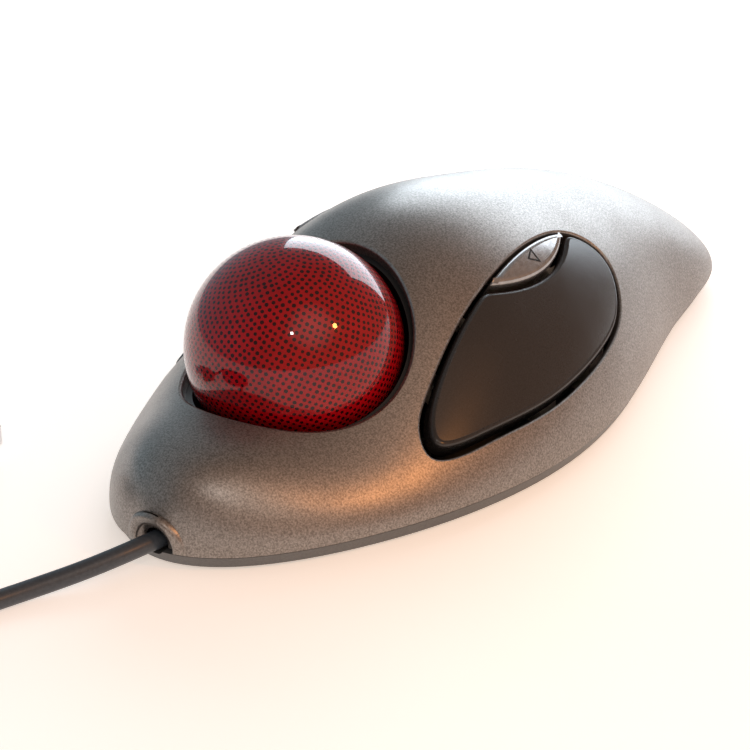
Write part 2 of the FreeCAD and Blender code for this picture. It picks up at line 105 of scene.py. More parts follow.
# ---- material tools -------------------------------------------------------------------------
def new_material(name):
    material = bpy.data.materials.new(name)
    material.use_nodes = True
    tree = material.node_tree
    return material, tree, tree.nodes["Principled BSDF"]


def noise(tree, scale, detail=2.0, rough=0.5):
    coords = tree.nodes.new("ShaderNodeTexCoord")
    node = tree.nodes.new("ShaderNodeTexNoise")
    node.inputs["Scale"].default_value = scale
    node.inputs["Detail"].default_value = detail
    node.inputs["Roughness"].default_value = rough
    tree.links.new(coords.outputs["Object"], node.inputs["Vector"])
    return node.outputs["Fac"]


def ramp(tree, source, stops):
    node = tree.nodes.new("ShaderNodeValToRGB")
    elements = node.color_ramp.elements
    while len(elements) < len(stops):
        elements.new(0.5)
    for element, (place, colour) in zip(elements, stops):
        element.position = place
        element.color = (*colour, 1)
    tree.links.new(source, node.inputs["Fac"])
    return node.outputs["Color"]


def grey(value):
    return (value, value, value)


def bump(tree, shader, source, strength, distance):
    node = tree.nodes.new("ShaderNodeBump")
    node.inputs["Strength"].default_value = strength
    node.inputs["Distance"].default_value = distance
    tree.links.new(source, node.inputs["Height"])
    tree.links.new(node.outputs["Normal"], shader.inputs["Normal"])


def speckled(name, dark, light, rough, scale, metallic=0.0, strength=0.1, depth=0.00003, coat=0.0):
    """Moulded or painted surface: fine grain in colour, roughness and bump."""
    material, tree, shader = new_material(name)
    grain = noise(tree, scale, 3, 0.6)
    tree.links.new(ramp(tree, grain, [(0.35, dark), (0.65, light)]), shader.inputs["Base Color"])
    cloud = noise(tree, 60, 4, 0.55)
    low = grey(max(rough - 0.05, 0.02))
    tree.links.new(ramp(tree, cloud, [(0.3, low), (0.7, grey(rough + 0.05))]), shader.inputs["Roughness"])
    shader.inputs["Metallic"].default_value = metallic
    if coat:
        shader.inputs["Coat Weight"].default_value = coat
        shader.inputs["Coat Roughness"].default_value = 0.12
    bump(tree, shader, grain, strength, depth)
    return material


def make_materials():
    made = {}
    made["silver"] = speckled("silver_paint", (0.17, 0.155, 0.145), (0.36, 0.335, 0.315), 0.38, 3000,
                              metallic=0.85, strength=0.3, depth=0.00005)
    made["base"] = speckled("base_grey", (0.085, 0.088, 0.092), (0.115, 0.118, 0.122), 0.45, 2600)
    made["lens"] = speckled("lens_grey", (0.30, 0.29, 0.29), (0.38, 0.37, 0.365), 0.20, 900,
                            metallic=0.8, strength=0.05)
    made["mark"] = speckled("mark_dark", (0.006, 0.006, 0.007), (0.010, 0.010, 0.011), 0.8, 2000)
    made["charcoal"] = speckled("button_charcoal", (0.018, 0.017, 0.017), (0.028, 0.026, 0.026), 0.24, 4200,
                                strength=0.0)
    made["black"] = speckled("cup_black", (0.004, 0.004, 0.005), (0.009, 0.009, 0.010), 0.4, 2000)
    made["ball"] = speckled("ball_red", (0.26, 0.0012, 0.004), (0.34, 0.0018, 0.006), 0.22, 90, coat=1.0,
                            strength=0.0)
    made["dot"] = speckled("ball_dot", (0.020, 0.001, 0.002), (0.030, 0.001, 0.003), 0.22, 300, coat=1.0,
                           strength=0.0)
    for name in ("ball", "dot"):
        shader = made[name].node_tree.nodes["Principled BSDF"]
        shader.inputs["Coat Roughness"].default_value = 0.015
        shader.inputs["Coat IOR"].default_value = 1.42
        shader.inputs["Specular IOR Level"].default_value = 0.05
    made["cable"] = speckled("cable_jacket", (0.040, 0.052, 0.068), (0.052, 0.066, 0.084), 0.36, 1500)
    made["rubber"] = speckled("rubber", (0.012, 0.012, 0.012), (0.022, 0.022, 0.022), 0.75, 1800,
                              strength=0.3)
    made["natural"] = speckled("natural_plastic", (0.62, 0.60, 0.54), (0.70, 0.68, 0.62), 0.45, 900)
    made["board"] = speckled("circuit_board", (0.010, 0.10, 0.035), (0.020, 0.15, 0.055), 0.4, 700)
    made["steel"] = speckled("zinc_steel", (0.50, 0.50, 0.52), (0.62, 0.62, 0.64), 0.28, 1500, metallic=1.0)
    made["nickel"] = speckled("plug_nickel", (0.66, 0.66, 0.67), (0.74, 0.74, 0.75), 0.2, 1200,
                              metallic=1.0)
    made["gold"] = speckled("contact_gold", (0.80, 0.55, 0.20), (0.88, 0.64, 0.28), 0.22, 1500,
                            metallic=1.0)
    made["foil"] = speckled("label_foil", (0.55, 0.55, 0.56), (0.62, 0.62, 0.63), 0.35, 1500, metallic=0.8)
    made["window"] = speckled("window_red", (0.20, 0.005, 0.01), (0.26, 0.008, 0.014), 0.08, 200)
    made["plunger"] = speckled("plunger_red", (0.45, 0.03, 0.02), (0.55, 0.04, 0.03), 0.4, 900)
    return made


NODE_LOOKS = {
    "base": ["bottom_case"], "black": ["ball_cup", "controller_chip", "sensor_chip", "infrared_leds"],
    "natural": ["cable_connector", "plug_tongue"], "board": ["main_board", "sensor_board"],
    "steel": ["case_screws", "board_screws", "cup_screws", "sensor_screws", "clock_crystal", "capacitors",
              "board_resistors", "bearing_front", "bearing_left", "bearing_right"],
    "rubber": ["foot_front", "foot_left", "foot_right", "foot_rear", "cable_grommet"],
    "cable": ["inner_lead", "plug_grip"], "foil": ["rating_label"], "window": ["sensor_window"],
    "nickel": ["plug_shell"], "gold": ["plug_contacts"]}
SIDE_LOOKS = {"natural": ["switch_bracket"], "black": ["switch", "small_switch"],
              "steel": ["button_pin", "small_button_pin"], "plunger": ["plunger", "small_plunger"]}


def dress_nodes(looks):
    for look, names in NODE_LOOKS.items():
        for name in names:
            paint_node(name, looks[look])
    for look, names in SIDE_LOOKS.items():
        for name in names:
            for side in ("left_", "right_"):
                paint_node(side + name, looks[look])


def paint_node(name, material):
    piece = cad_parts[name]
    for slot in piece.material_slots:
        slot.material = material


# ---- the body's smooth surface --------------------------------------------------------------
def basis(count, t):
    """Clamped uniform cubic B-spline weights of every pole at each t."""
    inner = np.linspace(0, 1, count - 2)
    knots = np.concatenate([[0] * 3, inner, [1] * 3])
    t = np.clip(np.asarray(t, float), 0, 1 - 1e-12)
    weights = ((knots[:-1] <= t[:, None]) & (t[:, None] < knots[1:])).astype(float)
    for degree in (1, 2, 3):
        size = len(knots) - 1 - degree
        fresh = np.zeros((len(t), size))
        for i in range(size):
            span = knots[i + degree] - knots[i]
            if span > 0:
                fresh[:, i] += (t - knots[i]) / span * weights[:, i]
            span = knots[i + degree + 1] - knots[i + 1]
            if span > 0:
                fresh[:, i] += (knots[i + degree + 1] - t) / span * weights[:, i + 1]
        weights = fresh
    return weights


def control_net():
    across = np.array([-1, -1, -SHOULDER_ACROSS, 0, SHOULDER_ACROSS, 1, 1])
    net = np.zeros((8, 7, 3))
    for k in range(8):
        side = SIDE_SHARE[k]
        shoulder = SHOULDER_SHARE[k]
        share = np.array([0, side, shoulder, 1, shoulder, side, 0])
        net[k, :, 0] = STATION_WIDTH[k] * across
        net[k, :, 1] = STATION_Y[k]
        net[k, :, 2] = RIM_Z + STATION_HEIGHT[k] * share
    return net


NET = control_net()


def surface(uv):
    """Points of the body's surface, in millimetres, at rows of (along, across) in 0..1."""
    along = basis(8, uv[:, 0])
    across = basis(7, uv[:, 1])
    return np.einsum("ni,ijk,nj->nk", along, NET, across)


def surface_normals(uv):
    step = 1e-4
    safe = np.column_stack([np.clip(uv[:, 0], 0.002, 0.998), np.clip(uv[:, 1], 0.0002, 0.9998)])
    along = surface(safe + [step, 0]) - surface(safe - [step, 0])
    across = surface(safe + [0, step]) - surface(safe - [0, step])
    normal = np.cross(across, along)
    return normal / np.linalg.norm(normal, axis=1)[:, None]


def onto_surface(origins, direction, start):
    """Where lines through the origins along a direction meet the surface, as (along, across)."""
    helper = np.array([0.0, 1.0, 0.0]) if abs(direction[1]) < 0.8 else np.array([1.0, 0, 0])
    first = np.cross(direction, helper)
    first /= np.linalg.norm(first)
    second = np.cross(direction, first)
    uv = start.copy()
    for _ in range(60):
        gap = surface(uv) - origins
        error = np.column_stack([gap @ first, gap @ second])
        step = 1e-5
        du = (surface(uv + [step, 0]) - surface(uv)) / step
        dv = (surface(uv + [0, step]) - surface(uv)) / step
        a, b = du @ first, dv @ first
        c, d = du @ second, dv @ second
        det = a * d - b * c
        det = np.where(np.abs(det) < 1e-6, 1e-6, det)
        change = np.column_stack([(d * error[:, 0] - b * error[:, 1]) / det,
                                  (a * error[:, 1] - c * error[:, 0]) / det])
        uv = uv - np.clip(change, -0.04, 0.04)
        uv = np.clip(uv, 0.0005, 0.9995)
    return uv


# ---- openings -------------------------------------------------------------------------------
TILT = math.radians(BUTTON_TILT)
LEAN = math.radians(OPENING_LEAN)
BALL_AXIS = np.array([0, -math.sin(LEAN), math.cos(LEAN)])


def press_axis(side):
    return np.array([side * math.sin(TILT), 0, math.cos(TILT)])


def tilted_points(points, side, out=35.0):
    """Carry (across, y) points of a button's plane into the body's frame."""
    points = np.asarray(points, float)
    x = points[:, 0] * math.cos(TILT) + out * math.sin(TILT)
    z = -points[:, 0] * math.sin(TILT) + out * math.cos(TILT)
    return np.column_stack([side * x, points[:, 1], z])


def closed_curve(points, count):
    """Smooth closed line through the points, chord-length spaced (periodic cubic spline)."""
    points = np.asarray(points, float)
    n = len(points)
    chord = np.linalg.norm(np.roll(points, -1, 0) - points, axis=1)
    matrix = np.zeros((n, n))
    right = np.zeros((n, 2))
    for i in range(n):
        before, after = chord[i - 1], chord[i]
        matrix[i, i - 1] += before / 6
        matrix[i, i] += (before + after) / 3
        matrix[i, (i + 1) % n] += after / 6
        right[i] = (points[(i + 1) % n] - points[i]) / after - (points[i] - points[i - 1]) / before
    bend = np.linalg.solve(matrix, right)
    total = chord.sum()
    starts = np.concatenate([[0], np.cumsum(chord)])
    result = []
    for s in np.linspace(0, total, count, endpoint=False):
        i = min(np.searchsorted(starts, s, side="right") - 1, n - 1)
        j = (i + 1) % n
        h = chord[i]
        a = (starts[i + 1] - s) / h
        b = 1 - a
        value = a * points[i] + b * points[j]
        value = value + ((a ** 3 - a) * bend[i] + (b ** 3 - b) * bend[j]) * h * h / 6
        result.append(value)
    return np.array(result)


def grown(loop, amount):
    """Move a closed plane loop outwards (its points run with the inside on the left)."""
    tangent = np.roll(loop, -1, 0) - np.roll(loop, 1, 0)
    tangent /= np.linalg.norm(tangent, axis=1)[:, None]
    outward = np.column_stack([tangent[:, 1], -tangent[:, 0]])
    return loop + outward * np.asarray(amount).reshape(-1, 1)


def oriented(loop):
    following = np.roll(loop, -1, 0)
    area = (loop[:, 0] * following[:, 1] - loop[:, 1] * following[:, 0]).sum() / 2
    return loop if area > 0 else loop[::-1]


def button_loop(grow, side, count=150):
    """Opening outline, grown by a distance, on the surface."""
    loop = grown(oriented(closed_curve(BUTTON_OUTLINE, count)), grow)
    origins = tilted_points(loop, side)
    start = np.tile([0.45, 0.5 + side * 0.3], (count, 1))
    return onto_surface(origins, press_axis(side), start)


def ball_loop(radius, count=150):
    angle = np.linspace(0, 2 * math.pi, count, endpoint=False)
    first = np.array([1.0, 0, 0])
    second = np.cross(BALL_AXIS, first)
    origins = BALL + radius * (np.cos(angle)[:, None] * first + np.sin(angle)[:, None] * second)
    guess = [0.33, 0.5]
    start = np.column_stack([guess[0] + 0.1 * np.sin(angle), guess[1] + 0.25 * np.cos(angle)])
    return onto_surface(origins, BALL_AXIS, start)


# ---- mesh tools -----------------------------------------------------------------------------
def facing_out(points, faces, normals):
    """The faces, each wound so that it faces the way that its normals point."""
    wound = []
    for face in faces:
        corners = points[list(face)]
        way = np.cross(corners[1] - corners[0], corners[2] - corners[0])
        if len(face) > 3:
            way = way + np.cross(corners[2] - corners[0], corners[3] - corners[0])
        wound.append(face if way @ normals[list(face)].sum(0) >= 0 else face[::-1])
    return wound


def mesh_object(name, points, faces, material, normals=None):
    if normals is not None:
        faces = facing_out(np.asarray(points), faces, np.asarray(normals))
    mesh = bpy.data.meshes.new(name)
    mesh.from_pydata([tuple(p) for p in np.asarray(points) * MM], [], faces)
    mesh.update()
    mesh.shade_smooth()
    if normals is not None:
        mesh.normals_split_custom_set_from_vertices([tuple(n) for n in normals])
    mesh.materials.append(material)
    piece = bpy.data.objects.new(name, mesh)
    bpy.context.scene.collection.objects.link(piece)
    return piece


def inside_loop(points, loop):
    """Which points lie inside a closed loop in the plane."""
    inside = np.zeros(len(points), bool)
    x, y = points[:, 0], points[:, 1]
    following = np.roll(loop, -1, 0)
    for (x0, y0), (x1, y1) in zip(loop, following):
        crosses = (y0 > y) != (y1 > y)
        if y1 != y0:
            inside ^= crosses & (x < (x1 - x0) * (y - y0) / (y1 - y0) + x0)
    return inside


PLANE = np.array([190.0, 130.0])     # the (along, across) square in rough millimetres


def fill_surface(outer, holes, spacing):
    """Conforming triangles of the surface between loops; returns (along, across) and faces."""
    loops = [outer] + holes
    points = []
    edges = []
    for loop in loops:
        first = len(points)
        points += [tuple(p) for p in loop * PLANE]
        count = len(loop)
        edges += [(first + i, first + (i + 1) % count) for i in range(count)]
    rows = np.arange(spacing / 2, PLANE[0], spacing)
    columns = np.arange(spacing / 2, PLANE[1], spacing)
    grid = np.array([(a, b + (i % 2) * spacing / 2) for i, a in enumerate(rows) for b in columns])
    keep = inside_loop(grid, outer * PLANE)
    for hole in holes:
        keep &= ~inside_loop(grid, hole * PLANE)
    grid = grid[keep]
    rim = np.array(points)
    near = np.array([np.min(np.hypot(*(rim - g).T)) for g in grid])
    points += [tuple(p) for p in grid[near > spacing * 0.6]]
    made = delaunay_2d_cdt([Vector(p) for p in points], edges, [], 1, 1e-6)
    flat = np.array([tuple(v) for v in made[0]])
    faces = [tuple(f) for f in made[2]]
    middles = np.array([flat[list(f)].mean(0) for f in faces])
    keep = inside_loop(middles, outer * PLANE)
    for hole in holes:
        keep &= ~inside_loop(middles, hole * PLANE)
    faces = [f for f, k in zip(faces, keep) if k]
    return flat / PLANE, faces


def lip(points, faces, normals, edge_out, edge_in, down, radius, depth, steps=6):
    """Add a rounded lip and a wall below it; edge_out and edge_in are loops of points."""
    count = len(edge_out)
    rows = []
    inward = edge_in - edge_out
    inward /= np.linalg.norm(inward, axis=1)[:, None]
    for i in range(steps + 1):
        angle = math.pi / 2 * i / steps
        row = edge_out + (edge_in - edge_out) * math.sin(angle) + down * radius * (1 - math.cos(angle))
        normal = -down * math.cos(angle) + inward * math.sin(angle)
        rows.append((row, normal))
    base = rows[-1][0]
    for share in (0.3, 1.0):
        rows.append((base + down * depth * share, inward))
    first = len(points)
    for row, normal in rows:
        points += [tuple(p) for p in row]
        normals += [tuple(n) for n in normal]
    for i in range(len(rows) - 1):
        for j in range(count):
            a = first + i * count + j
            b = first + i * count + (j + 1) % count
            faces.append((a, b, b + count, a + count))


# ---- top shell ------------------------------------------------------------------------------
SHELL_LIP = 0.45            # rounding at the button openings
BALL_LIP = 0.6              # rounding at the ball's opening
LIP_DEPTH = 3.0             # wall below a rounded edge
SHELL_SPACING = 1.6         # between the skin's mesh points
DOOR_R = 4.2                # inside of the arch over the cable
DOOR_Z = 3.9
DOOR_LIP = 2.4              # how wide the raised arch is
DOOR_SWELL = 1.25           # how far it stands out
DOOR_DEPTH = 0.9            # from its inner edge back to the wall
DOOR_STEPS = 8
TUNNEL_R = 2.5              # hole round the cable in that wall
TUNNEL_DEPTH = 2.5
NOSEWARD = np.array([0, -1.0, 0])
TAIL_POINTS = 22


def door_loop(radius, count=61):
    """Arch round the cable's way out, from the left rim over the top to the right rim."""
    low = math.asin((RIM_Z - DOOR_Z) / radius)
    angle = np.linspace(math.pi - low, low, count)
    height = DOOR_Z + radius * np.sin(angle)
    origins = np.column_stack([radius * np.cos(angle), np.zeros(count), height])
    start = np.column_stack([np.full(count, 0.05), 0.5 + 0.45 * np.cos(angle)])
    uv = onto_surface(origins, NOSEWARD, start)
    uv[0, 1] = 0.0
    uv[-1, 1] = 1.0
    return uv


def rim_loop(arch, count=220):
    """Edge of the skin: the left rim, the tail, the right rim and the arch over the cable."""
    share = 0.5 - 0.5 * np.cos(np.linspace(0, math.pi, count))
    low = np.column_stack([arch[0, 0] + (1 - arch[0, 0]) * share, np.zeros(count)])
    high = np.column_stack([arch[-1, 0] + (1 - arch[-1, 0]) * share[::-1], np.ones(count)])
    side = np.linspace(0, 1, TAIL_POINTS + 2)[1:-1]
    tail = np.column_stack([np.ones(TAIL_POINTS), side])
    return np.vstack([low[1:], tail, high[:-1], arch[::-1]])


def make_top_shell(looks):
    lips = []
    holes = []
    for side in (1, -1):
        outer = button_loop(SHELL_LIP, side)
        inner = button_loop(0, side)
        holes.append(outer)
        lips.append((surface(outer), surface(inner), -press_axis(side), SHELL_LIP))
    outer = ball_loop(OPENING_R + BALL_LIP)
    inner = ball_loop(OPENING_R)
    holes.append(outer)
    lips.append((surface(outer), surface(inner), -BALL_AXIS, BALL_LIP))
    arch = door_loop(DOOR_R + DOOR_LIP)
    uv, faces = fill_surface(rim_loop(arch), holes, SHELL_SPACING)
    points = surface(uv)
    normals = [tuple(n) for n in surface_normals(uv)]
    points = [tuple(p) for p in points]
    for edge_out, edge_in, down, radius in lips:
        lip(points, faces, normals, edge_out, edge_in, down, radius, LIP_DEPTH)
    add_doorway(points, faces, normals, surface(arch), surface(door_loop(DOOR_R)))
    piece = mesh_object("shell_skin", points, faces, looks["silver"], normals)
    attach(piece, "casing")
    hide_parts("top_shell")


def add_doorway(points, faces, normals, edge_out, edge_in):
    """Raised arch over the cable, the short reveal behind it and the back wall with its hole."""
    count = len(edge_out)
    taper = np.sin(np.linspace(0, math.pi, count)) ** 0.6
    rows = []
    for i in range(DOOR_STEPS + 1):
        share = i / DOOR_STEPS
        swell = DOOR_SWELL * math.sin(math.pi * share) ** 0.7 * taper
        row = edge_out + (edge_in - edge_out) * share + NOSEWARD * swell[:, None]
        row[:, 2] += 0.5 * swell
        row[:, 2] = np.maximum(row[:, 2], RIM_Z)
        rows.append(row)
    back = rows[-1].copy()
    back[:, 1] += DOOR_DEPTH
    rows.append(back)
    angle = np.arctan2(back[:, 2] - EXIT_Z, back[:, 0])
    angle = np.where(angle < -math.pi / 2, angle + 2 * math.pi, angle)
    hole = back.copy()
    hole[:, 0] = TUNNEL_R * np.cos(angle)
    hole[:, 2] = np.maximum(EXIT_Z + TUNNEL_R * np.sin(angle), RIM_Z)
    rows.append(hole)
    deep = hole.copy()
    deep[:, 1] += TUNNEL_DEPTH
    rows.append(deep)
    first = len(points)
    for k, row in enumerate(rows):
        following = rows[min(k + 1, len(rows) - 1)]
        before = rows[max(k - 1, 0)]
        around = np.gradient(row, axis=0)
        normal = np.cross(around, following - before)
        normal /= np.maximum(np.linalg.norm(normal, axis=1), 1e-9)[:, None]
        normal = np.where((normal[:, 1] > 0)[:, None], -normal, normal)
        points += [tuple(p) for p in row]
        normals += [tuple(n) for n in normal]
    for i in range(len(rows) - 1):
        for j in range(count - 1):
            a = first + i * count + j
            faces.append((a, a + 1, a + 1 + count, a + count))


# ---- buttons --------------------------------------------------------------------------------
CAP_SPACING = 1.2           # between a cap's mesh points
MAIN_EDGE = 0.9             # rounding of a main button's edge
MAIN_SKIRT = 2.0
SMALL_EDGE = 1.2
SMALL_SKIRT = 2.6
SMALL_RAISE = 0.6           # the small button stands this far out of the surface
MARK_OUTER = 1.9            # radii of the corners of the mark's triangle
MARK_INNER = 1.2
MARK_PROUD = 0.04
MARK_STEPS = 6              # points along one side of the triangle


def plate_piece(name, loop, side, material, edge, raise_by, depth):
    """Button cap: the body's surface inside a loop, with a rounded edge and a skirt."""
    count = len(loop)
    press = press_axis(side)
    start = np.tile([0.45, 0.5 + side * 0.3], (count, 1))
    outer = onto_surface(tilted_points(loop, side), press, start)
    inner = onto_surface(tilted_points(grown(loop, -edge), side), press, outer)
    uv, faces = fill_surface(inner, [], CAP_SPACING)
    rise = press * raise_by
    points = [tuple(p + rise) for p in surface(uv)]
    normals = [tuple(n) for n in surface_normals(uv)]
    lip(points, faces, normals, surface(inner) + rise, surface(outer) + rise, -press, edge, depth)
    return mesh_object(name, points, faces, material, normals)


def gap_loop(count):
    """Opening outline moved in by the gap, which differs round it."""
    flat = np.asarray(BUTTON_OUTLINE, float)
    before = np.roll(flat, 1, 0)
    after = np.roll(flat, -1, 0)
    tangent = after - before
    tangent /= np.linalg.norm(tangent, axis=1)[:, None]
    inward = np.column_stack([-tangent[:, 1], tangent[:, 0]])
    return oriented(closed_curve(flat + inward * np.array(BUTTON_GAPS)[:, None], count))


def split_loop(loop, radius, keep_inside):
    """Part of a loop inside or outside the small button's arc, closed along the arc."""
    centre = np.array(SMALL_ARC_CENTRE)
    distance = np.hypot(*(loop - centre).T)
    inside = distance < radius
    want = inside if keep_inside else ~inside
    count = len(loop)
    start = next(i for i in range(count) if want[i] and not want[i - 1])
    run = []
    i = start
    while want[i % count]:
        run.append(loop[i % count])
        i += 1
    first = run[0] - centre
    last = run[-1] - centre
    angle_last = math.atan2(last[1], last[0])
    angle_first = math.atan2(first[1], first[0])
    steps = 40
    arc = []
    for k in range(steps + 1):
        angle = angle_last + (angle_first - angle_last) * k / steps
        arc.append(centre + radius * np.array([math.cos(angle), math.sin(angle)]))
    return oriented(np.array(run[1:-1] + arc))


def smooth_loop(loop, rounds):
    """Ease the corners of a loop."""
    for _ in range(rounds):
        loop = (np.roll(loop, 1, 0) + 2 * loop + np.roll(loop, -1, 0)) / 4
    return loop


def even_loop(loop, count):
    """The same closed loop with evenly spaced points."""
    closed = np.vstack([loop, loop[:1]])
    reach = np.concatenate([[0], np.cumsum(np.hypot(*np.diff(closed, axis=0).T))])
    places = np.linspace(0, reach[-1], count, endpoint=False)
    return np.column_stack([np.interp(places, reach, closed[:, k]) for k in (0, 1)])


def make_buttons(looks):
    whole = gap_loop(400)
    main = smooth_loop(even_loop(split_loop(whole, SMALL_ARC_R + SMALL_GAP, False), 200), 5)
    small = smooth_loop(even_loop(split_loop(whole, SMALL_ARC_R, True), 110), 4)
    for name, side in (("left_", 1), ("right_", -1)):
        cap = plate_piece(name + "button_cap", main, side, looks["charcoal"], MAIN_EDGE, 0.0, MAIN_SKIRT)
        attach(cap, name + "button")
        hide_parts(name + "button")
        cap = plate_piece(name + "small_cap", small, side, looks["lens"], SMALL_EDGE, SMALL_RAISE,
                          SMALL_SKIRT)
        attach(cap, name + "small_button")
        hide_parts(name + "small_button")
        make_mark(name, small, side, looks)


def make_mark(name, loop, side, looks):
    """Thin plain triangle outline printed on the small button."""
    turns = np.radians([-90, 30, 150])
    corners = np.column_stack([np.cos(turns), np.sin(turns)])
    triangle = []
    for k in range(3):
        along = corners[(k + 1) % 3] - corners[k]
        triangle += [corners[k] + along * t / MARK_STEPS for t in range(MARK_STEPS)]
    count = len(triangle)
    rings = [loop.mean(0) + radius * np.array(triangle) for radius in (MARK_OUTER, MARK_INNER)]
    flat = np.vstack(rings)
    press = press_axis(side)
    start = np.tile([0.5, 0.5 + side * 0.25], (2 * count, 1))
    uv = onto_surface(tilted_points(flat, side), press, start)
    points = [tuple(p + press * (SMALL_RAISE + MARK_PROUD)) for p in surface(uv)]
    faces = []
    for k in range(count):
        following = (k + 1) % count
        faces.append((k, following, count + following, count + k))
    normals = [tuple(n) for n in surface_normals(uv)]
    piece = mesh_object(name + "mark", points, faces, looks["mark"], normals)
    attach(piece, name + "small_button")


# ---- ball -----------------------------------------------------------------------------------
BALL_ROWS = 128
BALL_COLUMNS = 256
DOT_COUNT = 3900
DOT_R = 0.35
DOT_PROUD = 0.012
DOT_SCATTER = 0.0035        # as a share of the ball's radius
DOT_CORNERS = 10


def make_ball(looks):
    rows = BALL_ROWS
    columns = BALL_COLUMNS
    points = [BALL + [0, 0, BALL_R]]
    faces = []
    for i in range(1, rows):
        polar = math.pi * i / rows
        ring = math.sin(polar)
        for j in range(columns):
            turn = 2 * math.pi * j / columns
            way = np.array([ring * math.cos(turn), ring * math.sin(turn), math.cos(polar)])
            points.append(BALL + BALL_R * way)
    points.append(BALL - [0, 0, BALL_R])
    for j in range(columns):
        k = (j + 1) % columns
        faces.append((0, 1 + j, 1 + k))
        for i in range(rows - 2):
            a = 1 + i * columns
            faces.append((a + j, a + columns + j, a + columns + k, a + k))
        a = 1 + (rows - 2) * columns
        faces.append((a + j, len(points) - 1, a + k))
    normals = [tuple((p - BALL) / BALL_R) for p in points]
    piece = mesh_object("ball_skin", points, faces, looks["ball"], normals)
    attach(piece, "trackball")
    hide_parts("trackball")
    make_dots(looks)


def make_dots(looks):
    """Small dark discs on the ball in an even spiral lattice, each a little off its place."""
    rng = np.random.default_rng(7)
    golden = math.pi * (3 - math.sqrt(5))
    points = []
    normals = []
    faces = []
    for k in range(DOT_COUNT):
        up = 1 - 2 * (k + 0.5) / DOT_COUNT
        ring = math.sqrt(1 - up * up)
        way = np.array([ring * math.cos(golden * k), ring * math.sin(golden * k), up])
        way = way + rng.normal(0, DOT_SCATTER, 3)
        way /= np.linalg.norm(way)
        helper = np.array([0, 0, 1.0]) if abs(way[2]) < 0.9 else np.array([1.0, 0, 0])
        first = np.cross(way, helper)
        first /= np.linalg.norm(first)
        second = np.cross(way, first)
        size = DOT_R * rng.uniform(0.85, 1.12)
        base = len(points)
        for c in range(DOT_CORNERS):
            angle = 2 * math.pi * c / DOT_CORNERS
            spot = way * BALL_R + size * (math.cos(angle) * first + math.sin(angle) * second)
            spot = spot / np.linalg.norm(spot)
            points.append(BALL + spot * (BALL_R + DOT_PROUD))
            normals.append(tuple(spot))
        faces.append(tuple(range(base, base + DOT_CORNERS)))
    piece = mesh_object("ball_dots", points, faces, looks["dot"], normals)
    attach(piece, "trackball")


# ---- cable ----------------------------------------------------------------------------------
LEAD_ROUTE = [(0, -79, 4.6), (-1, -86, 4.7), (-5, -94.5, 3.3), (-10, -103, 1.95),
              (-14, -113.5, 1.75), (-14.5, -125, 1.75), (-10.5, -136, 1.75)]
TAIL_ROUTE = [(-58.8, -136, 10.8), (-59, -127, 7.4), (-59, -118, 4.9), (-59, -109, 4.25)]
COIL_CENTRE = (-34, -141)
COIL_R = 24.5               # outermost turn
COIL_TURNS = 14
LAYER_TURNS = 4
TURN_PITCH = 3.5
TURN_POINTS = 16
LAYER_RISE = 3.3


def coil_route():
    """Turns that wind in, then out, a layer at a time; clockwise from above."""
    route = []
    last_layer = COIL_TURNS // LAYER_TURNS
    across = LAYER_TURNS - 1
    total = COIL_TURNS * TURN_POINTS + TURN_POINTS // 2
    for k in range(total + 1):
        turn = k / TURN_POINTS
        layer = min(int(turn // LAYER_TURNS), last_layer)
        within = turn - LAYER_TURNS * layer
        shift = within / LAYER_TURNS * across
        if layer == last_layer:
            shift = min(within, 2.0) / LAYER_TURNS * across
        place = shift if layer % 2 == 0 else across - shift
        radius = COIL_R - place * TURN_PITCH
        radius *= 1 / math.cos(math.pi / TURN_POINTS) ** 0.5
        blend = min(max((within - 3.6) / 0.4, 0), 1)
        height = CABLE_R + LAYER_RISE * (layer + blend)
        angle = -2 * math.pi * turn
        x = COIL_CENTRE[0] + radius * math.cos(angle)
        y = COIL_CENTRE[1] + radius * math.sin(angle)
        route.append((x, y, height))
    return route


def make_cable(looks):
    route = LEAD_ROUTE + coil_route() + TAIL_ROUTE
    curve = bpy.data.curves.new("cable", "CURVE")
    curve.dimensions = "3D"
    curve.bevel_depth = CABLE_R * MM
    curve.bevel_resolution = 6
    curve.resolution_u = 6
    spline = curve.splines.new("NURBS")
    spline.points.add(len(route) - 1)
    for point, place in zip(spline.points, route):
        point.co = (*[v * MM for v in place], 1)
    spline.order_u = 3
    spline.use_endpoint_u = True
    curve.materials.append(looks["cable"])
    cable = bpy.data.objects.new("cable", curve)
    bpy.context.scene.collection.objects.link(cable)
    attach(cable, "casing")
    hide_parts("cable_lead", "cable_coil", "cable_tail")


# ---- stage and light ------------------------------------------------------------------------
def area_light(name, place, target, size, power, colour, size_y=None):
    data = bpy.data.lights.new(name, "AREA")
    data.energy = power
    data.color = colour
    data.size = size
    data.shape = "DISK"
    if size_y:
        data.shape = "RECTANGLE"
        data.size_y = size_y
    light = bpy.data.objects.new(name, data)
    light.location = place
    light.rotation_euler = (Vector(target) - Vector(place)).to_track_quat("-Z", "Y").to_euler()
    bpy.context.scene.collection.objects.link(light)


WORLD_STRENGTH = 0.75
# Colours of the surrounding light from the -X side over the middle to the +X side.
WORLD_SIDES = [(0.0, (0.46, 0.62, 0.72)), (0.5, (0.34, 0.275, 0.235)), (1.0, (0.86, 0.50, 0.33))]
GLOW_SIDE = (0.66, -0.30, 0.62)
GLOW_EDGE = 0.90            # cosine of the angle at which the glow ends
GLOW_COLOUR = (1.25, 1.15, 1.02)


